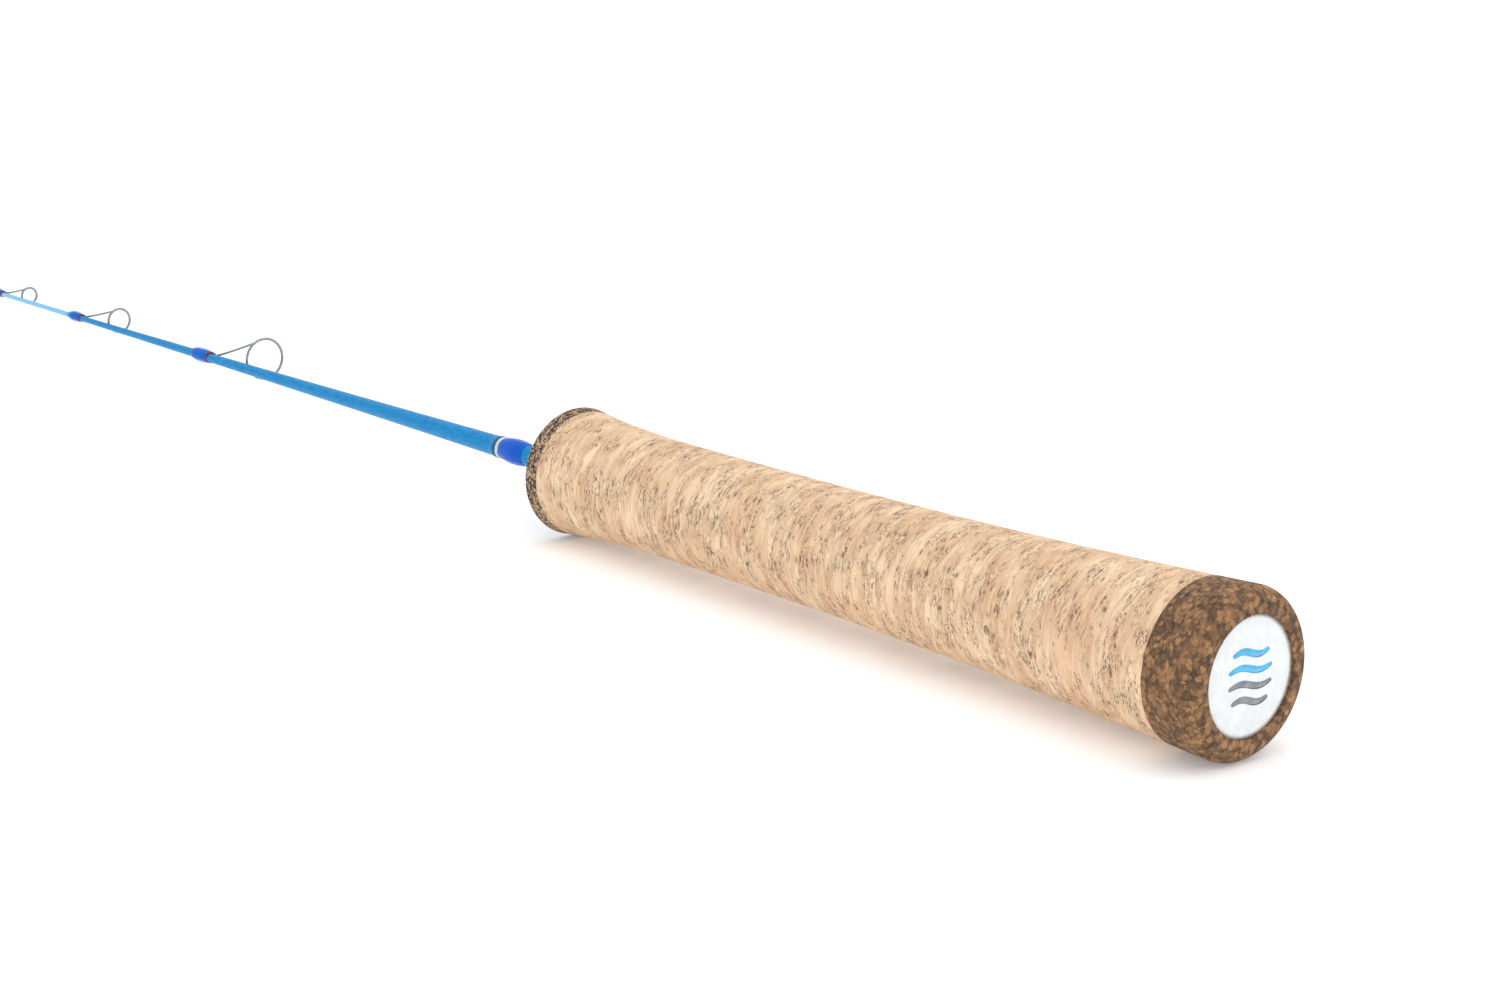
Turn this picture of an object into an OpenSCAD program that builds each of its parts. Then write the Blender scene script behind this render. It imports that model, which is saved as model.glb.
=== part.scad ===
// Ice fishing rod with a full cork grip, a one-piece solid blank and single-foot wire guides.
// +X runs along the rod from the butt to the tip, +Z is up. The origin is the centre of the
// butt end. The guides point to the rod's far side (-Y), as the rod lies on a table.

/* [Rod] */
// Overall length, butt end to the outside of the tip-top ring
rod_len = 609.6; // [560:0.1:720]
// Roll of the guides about the rod, from straight up
guide_roll = 78; // [0:1:90]

/* [Cork grip] */
// Length of the grip with its butt cap and front ring
grip_len = 203.2; // [180:0.1:215]
// Radius at the butt
grip_butt_r = 16.7; // [14:0.1:18]
// Radius at the waist
grip_waist_r = 12.95; // [11:0.05:13.8]
// Radius at the front
grip_front_r = 14.95; // [13.9:0.05:16]
// Distance of the waist from the butt
grip_waist_x = 155; // [100:1:160]
// Exponent of the flare from the waist to the butt
butt_flare = 2.4; // [2:0.1:4]
// Exponent of the flare from the waist to the front
front_flare = 3; // [2:0.1:4]
// Thickness of the dark butt cap
cap_len = 12; // [8:0.1:20]
// Rounding of the butt cap's edge
cap_round = 3.5; // [1:0.1:5]
// Thickness of the dark front ring
front_ring_len = 4; // [2:0.1:8]
// Rounding of the front ring's edge
front_round = 0.6; // [0.2:0.1:1]
// Radius of the reamed bore in the cork
grip_bore_r = 3.2; // [3:0.05:4]

/* [Butt badge] */
// Radius of the badge
badge_r = 11.5; // [6:0.1:12]
// Thickness of the badge
badge_t = 0.6; // [0.3:0.1:1.5]
// Depth of the recess left above the badge
badge_inset = 0.5; // [0.2:0.1:1.5]

/* [Blank] */
// Radius of the blank inside the grip
blank_butt_r = 2.65; // [2.6:0.05:2.9]
// Radius of the blank at the butt wrap
blank_base_r = 2.55; // [2:0.05:2.6]
// Radius of the blank at the tip
blank_tip_r = 0.5; // [0.4:0.05:0.8]
// Exponent of the taper, 1 is a straight cone
blank_power = 2.1; // [1:0.1:2.5]
// Distance of the blank's hidden end from the butt
blank_start_x = 22; // [15:1:60]
// Length of each tape collar that centres the blank in the cork
arbor_len = 14; // [8:1:25]

/* [Butt wrap] */
// Start of the wrap, from the butt
butt_wrap_x = 223.3; // [220:0.1:240]
// Length of the main thread band
butt_wrap_len = 8.6; // [8:0.1:20]
// Length of the silver trim band
silver_trim_len = 1.3; // [0.6:0.1:3]
// Length of the teal trim band
teal_trim_len = 1.1; // [0.6:0.1:3]
// Overrun of the epoxy past each end of the thread
coat_overrun = 1.8; // [0.8:0.1:4]
// Thickness of one layer of thread
thread_t = 0.18; // [0.1:0.01:0.3]
// Thickness of the epoxy at the crown of the butt wrap
butt_coat_t = 0.42; // [0.15:0.01:0.8]

/* [Guides] */
// Ring positions along the rod, butt guide first
guide_x = [358.7, 439.4, 497, 541, 577];
// Outer diameters of the rings
guide_d = [11.8, 7.6, 5.6, 4.6, 4.2];
// Distances from each ring to its thread wrap
guide_reach = [17, 14.8, 11, 9, 8];
// Lengths of the thread wraps
guide_wrap = [8.8, 6.6, 6.4, 6.2, 6];
// Diameter of the guide wire on the butt guide
wire_d = 0.75; // [0.7:0.05:0.95]
// Smallest wire diameter, on the guide nearest the tip
wire_d_small = 0.65; // [0.5:0.05:0.75]
// Half angle between the two legs where they meet the ring, from its outermost point
leg_angle = 112; // [100:1:130]
// Width of the flattened foot
foot_w = 1.3; // [1:0.1:1.6]
// Thickness of the flattened foot
foot_t = 0.4; // [0.3:0.05:0.5]
// Length of the trim band at the wrap's butt end
trim_len = 1.2; // [0.6:0.1:2]
// Thickness of the epoxy over a guide wrap
guide_coat_t = 0.16; // [0.08:0.01:0.4]

/* [Tip-top] */
// Length of the tube over the blank's end
tip_tube_len = 9; // [6:0.1:14]
// Wall of the tube
tip_tube_wall = 0.28; // [0.2:0.01:0.5]
// Outer diameter of the tip ring
tip_ring_d = 4.2; // [3.4:0.1:5]
// Backward lean of the tip ring
tip_lean = 24; // [0:1:40]
// Length of the thread wrap behind the tube
tip_wrap_len = 5; // [3:0.1:10]

/* [Hidden] */
$fn = 64;

// A little extra so that a cut runs clean through a face
cut = 0.5;
// Length of the blank between two points of its taper outline
taper_step = 15;
// Number of stretches in the outline of each half of the grip
grip_steps = 8;
// The guide wrap's sleeve is this much off the rod's axis, so that it covers the foot
wrap_shift = 0.28;
// Gap between a guide ring and the blank
ring_gap = 0.1;
// Overrun of the epoxy past the tip end of a guide wrap
coat_end = 1;
// Thickness left at an epoxy coat's feathered edge
film = 0.06;
// Clearance of the thread sleeve over the foot's corners
sleeve_ease = 0.04;
// The foot starts this far before the wrap and ends this far short of its end
foot_lead = 0.6;
foot_short = 0.8;
// The legs part this far before the wrap
fork_lead = 0.3;
// Diameter of the legs as a share of the ring's wire
leg_share = 0.8;
// Widest foot, as a multiple of the blank's radius under it
foot_fit = 1.4;
// Depth of the foot's underside, as a share of the blank's radius
foot_seat = 0.5;
// Thickness left at the foot's ground end, as a share of its full thickness
foot_end = 0.4;
// Half the gap between the legs at the fork, as a share of the wire
fork_gap = 0.4;
// Height of the legs' axis over the blank at the fork, as a share of the wire
fork_rise = 0.5;
// Distance of the legs' upper ends from the ring's plane, as a share of the wire
leg_offset = 0.45;
// Share of the guide epoxy's thickness at its butt end
coat_edge = 0.4;
// Lengths over which the guide epoxy swells at its butt end and fades at its tip end
coat_rise = 1.2;
coat_fade = 1.8;
// Stretches in the butt wrap epoxy's outline, and the exponent that rounds its swell
coat_steps = 12;
coat_swell = 0.6;
// Length over which the tip epoxy swells
tip_coat_rise = 0.5;
// Gap from the blank's end to the tip ring, and overrun of the tube past the blank
tip_gap = 1.2;
tube_overrun = 0.6;
// Depth to which the tip ring sinks into the tube's outline
tip_ring_sink = 0.5;
// Height of the braces' axis over the tip tube
brace_rise = 0.15;
// Length of glue behind the blank's hidden end
glue_behind = 2;
// Distance of the rear tape collar from the blank's hidden end
collar_inset = 4;
// The braces of the tip-top start this far along its tube
brace_start = 2;
// End of the blank, inside the tip tube
blank_end_x = rod_len - tip_ring_d / 2 - tip_gap;
butt_trim_end_x = butt_wrap_x + butt_wrap_len + silver_trim_len + teal_trim_len;
tube_end_x = blank_end_x + tube_overrun;
tube_x = tube_end_x - tip_tube_len;
tube_r = blank_r(tube_x) + tip_tube_wall;
tip_ring_x = rod_len - (tip_ring_d - wire_d_small) / 2 * sin(tip_lean) - wire_d_small / 2;
tip_ring_h = tube_r + tip_ring_d / 2 * cos(tip_lean) - tip_ring_sink;

cork_c = "BurlyWood";
burl_c = "SaddleBrown";
blank_c = "DeepSkyBlue";
thread_c = "RoyalBlue";
epoxy_c = [0.6, 0.8, 1, 0.5];
steel_c = "SlateGray";

// Radius of the blank at x
function blank_r(x) = x < butt_trim_end_x
    ? blank_butt_r + (blank_base_r - blank_butt_r) * x / butt_trim_end_x
    : blank_tip_r + (blank_base_r - blank_tip_r)
        * pow((rod_len - x) / (rod_len - butt_trim_end_x), blank_power);

// Radius of the grip at x: one flare from the butt down to the waist, another up to the front
function grip_r(x) = x < grip_waist_x
    ? grip_waist_r + (grip_butt_r - grip_waist_r) * pow(1 - x / grip_waist_x, butt_flare)
    : grip_waist_r + (grip_front_r - grip_waist_r)
        * pow((x - grip_waist_x) / (grip_len - grip_waist_x), front_flare);

// Grip outline points from x0 to x1 as [radius, x]
function grip_run(x0, x1, steps) =
    [for (i = [0:steps]) let (x = x0 + (x1 - x0) * i / steps) [grip_r(x), x]];

// Wire diameter of guide i
function guide_wire(i) = wire_d + (wire_d_small - wire_d) * i / (len(guide_x) - 1);

// Height of guide i's ring centre above the rod's axis
function ring_h(i) = blank_r(guide_x[i]) + ring_gap + guide_d[i] / 2;

// Start and end of guide i's thread wrap
function wrap_x0(i) = guide_x[i] + guide_reach[i];
function wrap_x1(i) = wrap_x0(i) + guide_wrap[i];

// Outer radius of the thread sleeve of guide i at x
function sleeve_r(x) = blank_r(x) + foot_t + thread_t - wrap_shift + sleeve_ease;

// Lays a shape that is turned about Z along the rod, so that Z becomes +X
module along_rod() {
    rotate([0, 90, 0])
        children();
}

// Points the children's +Z to the side on which the guides stand
module rolled() {
    rotate([guide_roll, 0, 0])
        children();
}

// Solid of revolution along the rod from a list of [radius, x], closed on the axis
module turned(points) {
    along_rod()
        rotate_extrude()
            polygon(concat([[0, points[0][1]]], points, [[0, points[len(points) - 1][1]]]));
}

// Round rod between two points
module wire(a, b, d) {
    v = b - a;
    l = norm(v);
    translate(a)
        rotate([0, acos(v[2] / l), atan2(v[1], v[0])])
            cylinder(d = d, h = l, $fn = 24);
}

// Ring of round wire about the X axis, at the origin
module hoop(d, wire_size) {
    along_rod()
        rotate_extrude()
            translate([(d - wire_size) / 2, 0])
                circle(d = wire_size, $fn = 24);
}

// The whole blank as a plain solid, which every piece on it is cut by
module blank_body() {
    steps = ceil((blank_end_x - blank_start_x) / taper_step);
    turned([for (i = [0:steps])
        let (x = blank_start_x + (blank_end_x - blank_start_x) * i / steps) [blank_r(x), x]]);
}

// Reamed bore of the grip between two stations
module grip_bore(x0, x1) {
    translate([x0, 0, 0])
        along_rod()
            cylinder(r = grip_bore_r, h = x1 - x0);
}

// One-piece solid tapered blank
module blank() {
    color(blank_c)
        blank_body();
}

// Turned light cork between the two dark ends
module cork_grip() {
    front_x = grip_len - front_ring_len;
    color(cork_c)
        difference() {
            turned(concat(
                grip_run(cap_len, grip_waist_x, grip_steps),
                grip_run(grip_waist_x, front_x, grip_steps)));
            grip_bore(blank_start_x - glue_behind, front_x + cut);
        }
}

// Dark speckled ring that closes the front of the grip
module cork_front_ring() {
    front_x = grip_len - front_ring_len;
    color(burl_c)
        difference() {
            turned(concat(
                [[grip_r(front_x), front_x]],
                [for (a = [0:22.5:90])
                    [grip_front_r - front_round * (1 - cos(a)),
                     grip_len - front_round + front_round * sin(a)]]));
            blank_body();
        }
}

// Dark butt cap with a rounded rim and a recess for the badge
module cork_butt_cap() {
    recess = badge_t + badge_inset;
    color(burl_c)
        difference() {
            turned(concat(
                [for (a = [0:15:90])
                    [grip_r(cap_round) - cap_round * (1 - sin(a)), cap_round - cap_round * cos(a)]],
                [[grip_r(cap_len), cap_len]]));
            translate([-cut, 0, 0])
                along_rod()
                    cylinder(r = badge_r, h = recess + cut);
        }
}

// Round printed badge on the floor of the recess
module butt_badge() {
    color("White")
        translate([badge_inset, 0, 0])
            along_rod()
                cylinder(r = badge_r, h = badge_t);
}

// Paper tape wound on the blank to fill the cork's bore
module arbor(x0) {
    color("Khaki")
        difference() {
            grip_bore(x0, x0 + arbor_len);
            blank_body();
        }
}

module arbor_rear() {
    arbor(blank_start_x + collar_inset);
}

module arbor_front() {
    arbor(grip_len - front_ring_len - arbor_len);
}

// Glue that fills the bore between the collars and behind the blank
module epoxy_bond() {
    rear_x = blank_start_x + collar_inset;
    front_x = grip_len - front_ring_len - arbor_len;
    color("LightYellow")
        difference() {
            union() {
                grip_bore(blank_start_x - glue_behind, rear_x);
                grip_bore(rear_x + arbor_len, front_x);
            }
            blank_body();
        }
}

// Band of thread on the bare blank
module thread_band(x0, x1) {
    difference() {
        turned([[blank_r(x0) + thread_t, x0], [blank_r(x1) + thread_t, x1]]);
        blank_body();
    }
}

module butt_wrap_thread() {
    color(thread_c)
        thread_band(butt_wrap_x, butt_wrap_x + butt_wrap_len);
}

module butt_trim_silver() {
    x0 = butt_wrap_x + butt_wrap_len;
    color("Silver")
        thread_band(x0, x0 + silver_trim_len);
}

module butt_trim_teal() {
    color("Teal")
        thread_band(butt_trim_end_x - teal_trim_len, butt_trim_end_x);
}

// Clear epoxy over the butt wrap, fullest in the middle and thin at its ends
module butt_wrap_coat() {
    x0 = butt_wrap_x - coat_overrun;
    x1 = butt_trim_end_x + coat_overrun;
    color(epoxy_c)
        difference() {
            turned([for (i = [0:coat_steps])
                let (x = x0 + (x1 - x0) * i / coat_steps,
                    swell = pow(sin(180 * i / coat_steps), coat_swell))
                [blank_r(x) + film / 2 + (thread_t + butt_coat_t) * swell, x]]);
            blank_body();
            turned([[blank_r(butt_wrap_x) + thread_t, butt_wrap_x],
                [blank_r(butt_trim_end_x) + thread_t, butt_trim_end_x]]);
        }
}

// Closed wire hoop that the line runs through
module guide_ring(i) {
    color(steel_c)
        rolled()
            translate([guide_x[i], 0, ring_h(i)])
                hoop(guide_d[i], guide_wire(i));
}

// Flattened foot of guide i, ground down to a thin end under the thread
module guide_foot(i) {
    x0 = wrap_x0(i) - foot_lead;
    x1 = wrap_x1(i) - foot_short;
    w = min(foot_w, foot_fit * blank_r(x1));
    base = blank_r(x1) * foot_seat;
    translate([0, w / 2, 0])
        rotate([90, 0, 0])
            linear_extrude(height = w)
                polygon([[x0, base], [x1, base], [x1, blank_r(x1) + foot_t * foot_end],
                    [x0, blank_r(x0) + foot_t]]);
}

// Outer shape of a guide's thread, a sleeve that covers the blank and the foot
module guide_sleeve(x0, x1) {
    translate([0, 0, wrap_shift])
        turned([[sleeve_r(x0), x0], [sleeve_r(x1), x1]]);
}

// Two legs that rise from the foot to the ring, and the foot itself, before the roll
module frame_wire(i) {
    w = guide_wire(i);
    ring_r = (guide_d[i] - w) / 2;
    fork_x = wrap_x0(i) - fork_lead;
    difference() {
        union() {
            guide_foot(i);
            for (side = [-1, 1])
                wire([fork_x, side * w * fork_gap, blank_r(fork_x) + w * fork_rise],
                    [guide_x[i] + w * leg_offset, side * ring_r * sin(leg_angle),
                     ring_h(i) + ring_r * cos(leg_angle)], w * leg_share);
        }
        blank_body();
        translate([guide_x[i], 0, ring_h(i)])
            hoop(guide_d[i], w);
    }
}

module guide_frame(i) {
    color(steel_c)
        rolled()
            frame_wire(i);
}

// Thread over the foot
module guide_wrap(i) {
    x0 = wrap_x0(i) + trim_len;
    color(thread_c)
        rolled()
            difference() {
                guide_sleeve(x0, wrap_x1(i));
                blank_body();
                guide_foot(i);
            }
}

// Metallic trim at the wrap's butt end
module guide_trim(i) {
    x0 = wrap_x0(i);
    color("Brown")
        rolled()
            difference() {
                guide_sleeve(x0, x0 + trim_len);
                blank_body();
                guide_foot(i);
            }
}

// Clear epoxy over the wrap and the trim
module guide_coat(i) {
    x0 = wrap_x0(i);
    x1 = wrap_x1(i) + coat_end;
    color(epoxy_c)
        rolled()
            difference() {
                translate([0, 0, wrap_shift])
                    turned([[sleeve_r(x0) + guide_coat_t * coat_edge, x0],
                        [sleeve_r(x0) + guide_coat_t, x0 + coat_rise],
                        [sleeve_r(x1) + guide_coat_t, x1 - coat_fade],
                        [blank_r(x1) + wrap_shift + film, x1]]);
                blank_body();
                translate([0, 0, wrap_shift])
                    turned([[sleeve_r(x0), x0 - cut], [sleeve_r(wrap_x1(i)), wrap_x1(i)]]);
            }
}

// Metal tube glued over the blank's end
module tip_tube() {
    color(steel_c)
        difference() {
            turned([[tube_r, tube_x], [tube_r, tube_end_x]]);
            blank_body();
        }
}

// Places the tip ring: leaned back, on the guides' side of the tube
module at_tip_ring() {
    rolled()
        translate([tip_ring_x, 0, tip_ring_h])
            rotate([0, -tip_lean, 0])
                children();
}

// Hoop at the very tip
module tip_ring() {
    color(steel_c)
        difference() {
            at_tip_ring()
                hoop(tip_ring_d, wire_d_small);
            turned([[tube_r, tube_x], [tube_r, tube_end_x]]);
        }
}

// Two braces from the tube to the sides of the tip ring
module tip_frame() {
    ring_r = (tip_ring_d - wire_d_small) / 2;
    color(steel_c)
        difference() {
            rolled()
                for (side = [-1, 1])
                    wire([tube_x + brace_start, side * wire_d_small * fork_gap, tube_r + brace_rise],
                        [tip_ring_x, side * ring_r, tip_ring_h], wire_d_small * leg_share);
            at_tip_ring()
                hoop(tip_ring_d, wire_d_small);
            turned([[tube_r, tube_x - cut], [tube_r, tube_end_x]]);
        }
}

// Thread behind the tip tube
module tip_wrap() {
    color(thread_c)
        thread_band(tube_x - tip_wrap_len, tube_x);
}

// Clear epoxy over the tip thread
module tip_coat() {
    x0 = tube_x - tip_wrap_len;
    color(epoxy_c)
        difference() {
            turned([[blank_r(x0) + film, x0 - coat_end],
                [blank_r(x0) + thread_t + guide_coat_t, x0 + tip_coat_rise],
                [blank_r(tube_x) + thread_t + guide_coat_t, tube_x]]);
            blank_body();
            turned([[blank_r(x0) + thread_t, x0], [blank_r(tube_x) + thread_t, tube_x + cut]]);
        }
}

blank();
cork_grip();
cork_front_ring();
cork_butt_cap();
butt_badge();
arbor_rear();
arbor_front();
epoxy_bond();
butt_wrap_thread();
butt_trim_silver();
butt_trim_teal();
butt_wrap_coat();
for (i = [0:len(guide_x) - 1]) {
    name = str("guide_", i + 1);
    guide_ring(i);
    guide_frame(i);
    guide_wrap(i);
    guide_trim(i);
    guide_coat(i);
}
tip_tube();
tip_frame();
tip_ring();
tip_wrap();
tip_coat();
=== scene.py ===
"""Looks of a short ice fishing rod: cork grip, blue blank, thread wraps and wire guides.

All lengths in the dataclasses are millimetres along the rod (+X from butt to tip) and are
turned into metres where a mesh is made.
"""

import logging
import math
from dataclasses import dataclass, field
from enum import Enum
from typing import Optional, Sequence, Union

import bpy
import numpy as np
from mathutils import Matrix, Vector, noise


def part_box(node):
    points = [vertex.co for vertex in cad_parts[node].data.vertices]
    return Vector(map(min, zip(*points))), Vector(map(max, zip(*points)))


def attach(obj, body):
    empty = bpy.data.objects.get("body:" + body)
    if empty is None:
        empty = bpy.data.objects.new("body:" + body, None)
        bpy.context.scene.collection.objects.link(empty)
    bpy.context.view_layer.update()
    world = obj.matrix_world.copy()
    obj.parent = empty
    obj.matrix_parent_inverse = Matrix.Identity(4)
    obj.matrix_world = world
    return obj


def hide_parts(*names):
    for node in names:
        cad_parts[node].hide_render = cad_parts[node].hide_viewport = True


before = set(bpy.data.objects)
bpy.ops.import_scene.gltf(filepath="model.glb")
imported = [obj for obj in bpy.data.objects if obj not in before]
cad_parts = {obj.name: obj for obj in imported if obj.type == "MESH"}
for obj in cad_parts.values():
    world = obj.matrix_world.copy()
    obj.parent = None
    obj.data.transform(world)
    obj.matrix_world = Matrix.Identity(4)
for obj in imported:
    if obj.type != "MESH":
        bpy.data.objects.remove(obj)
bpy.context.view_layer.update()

MM = 0.001
GUIDE_COUNT = 5
GUIDE_ROLL = math.radians(78)
BODY = "root"
LOG = logging.getLogger("ice_rod")

# Radius at which an outline stops short of the axis
CORE = 0.05
# Clearance that keeps a coat, a print or a hole off the surface it fits
SKIN = 0.02

Number = Union[int, float]
Colour = tuple[float, float, float]
Outline = Sequence[tuple[float, float]]


class Slot(Enum):
    """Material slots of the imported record."""

    CORK = "cork"
    BURL = "burl_cork"
    BADGE = "badge"
    BLANK = "blank_lacquer"
    THREAD_BLUE = "thread_blue"
    THREAD_SILVER = "thread_silver"
    THREAD_TEAL = "thread_teal"
    THREAD_RED = "thread_red"
    EPOXY = "epoxy"
    STEEL = "guide_steel"
    TAPE = "tape"
    GLUE = "glue"


def srgb(red: int, green: int, blue: int) -> Colour:
    """Turns a display colour into the linear colour that a shader takes.

    Args:
        red: Red from 0 to 255.
        green: Green from 0 to 255.
        blue: Blue from 0 to 255.

    Returns:
        The linear colour.
    """
    def linear(value: int) -> float:
        """Linear value of one channel."""
        v = value / 255
        return v / 12.92 if v <= 0.04045 else ((v + 0.055) / 1.055) ** 2.4

    return linear(red), linear(green), linear(blue)


class Field:
    """A number that changes over a surface: one socket, with Python's arithmetic."""

    def __init__(self, graph: "Graph", socket: bpy.types.NodeSocket) -> None:
        """Wraps an output socket of a graph."""
        self.graph = graph
        self.socket = socket

    def _math(self, operation: str, *values: Union["Field", Number]) -> "Field":
        """Adds one Math node.

        Args:
            operation: The node's operation.
            values: Its inputs, in order.

        Returns:
            The node's result.
        """
        inputs = dict(enumerate(values))
        return self.graph.field("ShaderNodeMath", {"operation": operation}, inputs)

    def __add__(self, other: Union["Field", Number]) -> "Field":
        """Sum."""
        return self._math("ADD", self, other)

    __radd__ = __add__

    def __mul__(self, other: Union["Field", Number]) -> "Field":
        """Product."""
        return self._math("MULTIPLY", self, other)

    __rmul__ = __mul__

    def __sub__(self, other: Union["Field", Number]) -> "Field":
        """Difference."""
        return self._math("SUBTRACT", self, other)

    def __rsub__(self, other: Number) -> "Field":
        """Difference from a number."""
        return self._math("SUBTRACT", other, self)

    def __pow__(self, other: Number) -> "Field":
        """Power."""
        return self._math("POWER", self, other)

    def larger(self, other: Union["Field", Number]) -> "Field":
        """The larger of two values."""
        return self._math("MAXIMUM", self, other)

    def absolute(self) -> "Field":
        """Size of the value without its sign."""
        return self._math("ABSOLUTE", self)

    def ramp(self, low: Number, high: Number) -> "Field":
        """Smooth step.

        Args:
            low: Where the result is 0.
            high: Where the result is 1.

        Returns:
            The step, held between 0 and 1.
        """
        inputs = {"Value": self, "From Min": low, "From Max": high}
        return self.graph.field("ShaderNodeMapRange", {"interpolation_type": "SMOOTHSTEP"}, inputs)


class Graph:
    """The node graph of one material."""

    def __init__(self, name: str) -> None:
        """Starts an empty material with an output."""
        self.material = bpy.data.materials.new(name)
        self.material.use_nodes = True
        self.tree = self.material.node_tree
        self.tree.nodes.clear()
        self.output = self.tree.nodes.new("ShaderNodeOutputMaterial")
        coordinates = self.tree.nodes.new("ShaderNodeTexCoord")
        self.place = coordinates.outputs["Object"]

    def node(self, kind: str, settings: dict, inputs: dict) -> bpy.types.Node:
        """Adds a node.

        Args:
            kind: The node's type.
            settings: Properties, set first. The key "stops" holds a colour ramp's stops.
            inputs: Socket name or number to a value, colour, Field or socket.

        Returns:
            The node.
        """
        made = self.tree.nodes.new(kind)
        for key, value in settings.items():
            if key == "stops":
                self._stops(made.color_ramp, value)
            else:
                setattr(made, key, value)
        for key, value in inputs.items():
            socket = made.inputs[key]
            if isinstance(value, Field):
                value = value.socket
            if isinstance(value, bpy.types.NodeSocket):
                self.tree.links.new(value, socket)
            elif isinstance(value, tuple) and socket.type == "RGBA":
                socket.default_value = (*value[:3], 1.0)
            else:
                socket.default_value = value
        return made

    @staticmethod
    def _stops(ramp: bpy.types.ColorRamp, stops: Sequence[tuple[float, Colour]]) -> None:
        """Sets a colour ramp's stops."""
        while len(ramp.elements) < len(stops):
            ramp.elements.new(0.5)
        for element, (position, colour) in zip(ramp.elements, stops):
            element.position = position
            element.color = (*colour, 1.0)

    def field(self, kind: str, settings: dict, inputs: dict,
              output: Union[str, int] = 0) -> Field:
        """Adds a node and wraps one of its outputs as a Field."""
        return Field(self, self.node(kind, settings, inputs).outputs[output])

    def stretched(self, x: float, y: float, z: float) -> bpy.types.NodeSocket:
        """The surface point with each axis multiplied.

        Args:
            x: Factor along the rod, per metre.
            y: Factor across the rod.
            z: Factor upwards.

        Returns:
            The scaled vector.
        """
        made = self.node("ShaderNodeVectorMath", {"operation": "MULTIPLY"},
                         {0: self.place, 1: (x, y, z)})
        return made.outputs[0]

    def noise(self, vector: bpy.types.NodeSocket, detail: float = 3.0,
              distortion: float = 0.0) -> Field:
        """Fractal noise of a vector, about 0 to 1."""
        return self.field("ShaderNodeTexNoise", {},
                          {"Vector": vector, "Scale": 1.0, "Detail": detail,
                           "Distortion": distortion})

    def warped(self, vector: bpy.types.NodeSocket, size: float) -> bpy.types.NodeSocket:
        """A vector pushed about by noise, so that cells get ragged edges.

        Args:
            vector: The vector.
            size: How far it is pushed, in the vector's own units.

        Returns:
            The warped vector.
        """
        push = self.node("ShaderNodeTexNoise", {}, {"Vector": vector, "Scale": 1.7, "Detail": 3.0})
        scaled = self.node("ShaderNodeVectorMath", {"operation": "SCALE"},
                           {0: push.outputs["Color"], "Scale": size})
        moved = self.node("ShaderNodeVectorMath", {"operation": "ADD"},
                          {0: vector, 1: scaled.outputs[0]})
        return moved.outputs[0]

    def mix(self, factor: Field, first: Union[Colour, bpy.types.NodeSocket],
            second: Union[Colour, bpy.types.NodeSocket]) -> bpy.types.NodeSocket:
        """Mixes two colours.

        Args:
            factor: 0 is the first colour, 1 the second.
            first: A colour or a colour socket.
            second: A colour or a colour socket.

        Returns:
            The mixed colour.
        """
        made = self.node("ShaderNodeMix", {"data_type": "RGBA"},
                         {"Factor": factor, 6: first, 7: second})
        return made.outputs[2]

    def bump(self, height: Field, distance: float) -> bpy.types.NodeSocket:
        """Bump from a height between 0 and 1.

        Args:
            height: The height.
            distance: What a height of 1 is worth, in metres.

        Returns:
            The normal.
        """
        made = self.node("ShaderNodeBump", {}, {"Height": height, "Distance": distance,
                                                "Strength": 1.0})
        return made.outputs["Normal"]

    def surface(self, inputs: dict) -> bpy.types.Material:
        """Ends the graph with a Principled shader and returns the material."""
        shader = self.node("ShaderNodeBsdfPrincipled", {}, inputs)
        self.tree.links.new(shader.outputs[0], self.output.inputs["Surface"])
        return self.material


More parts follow.
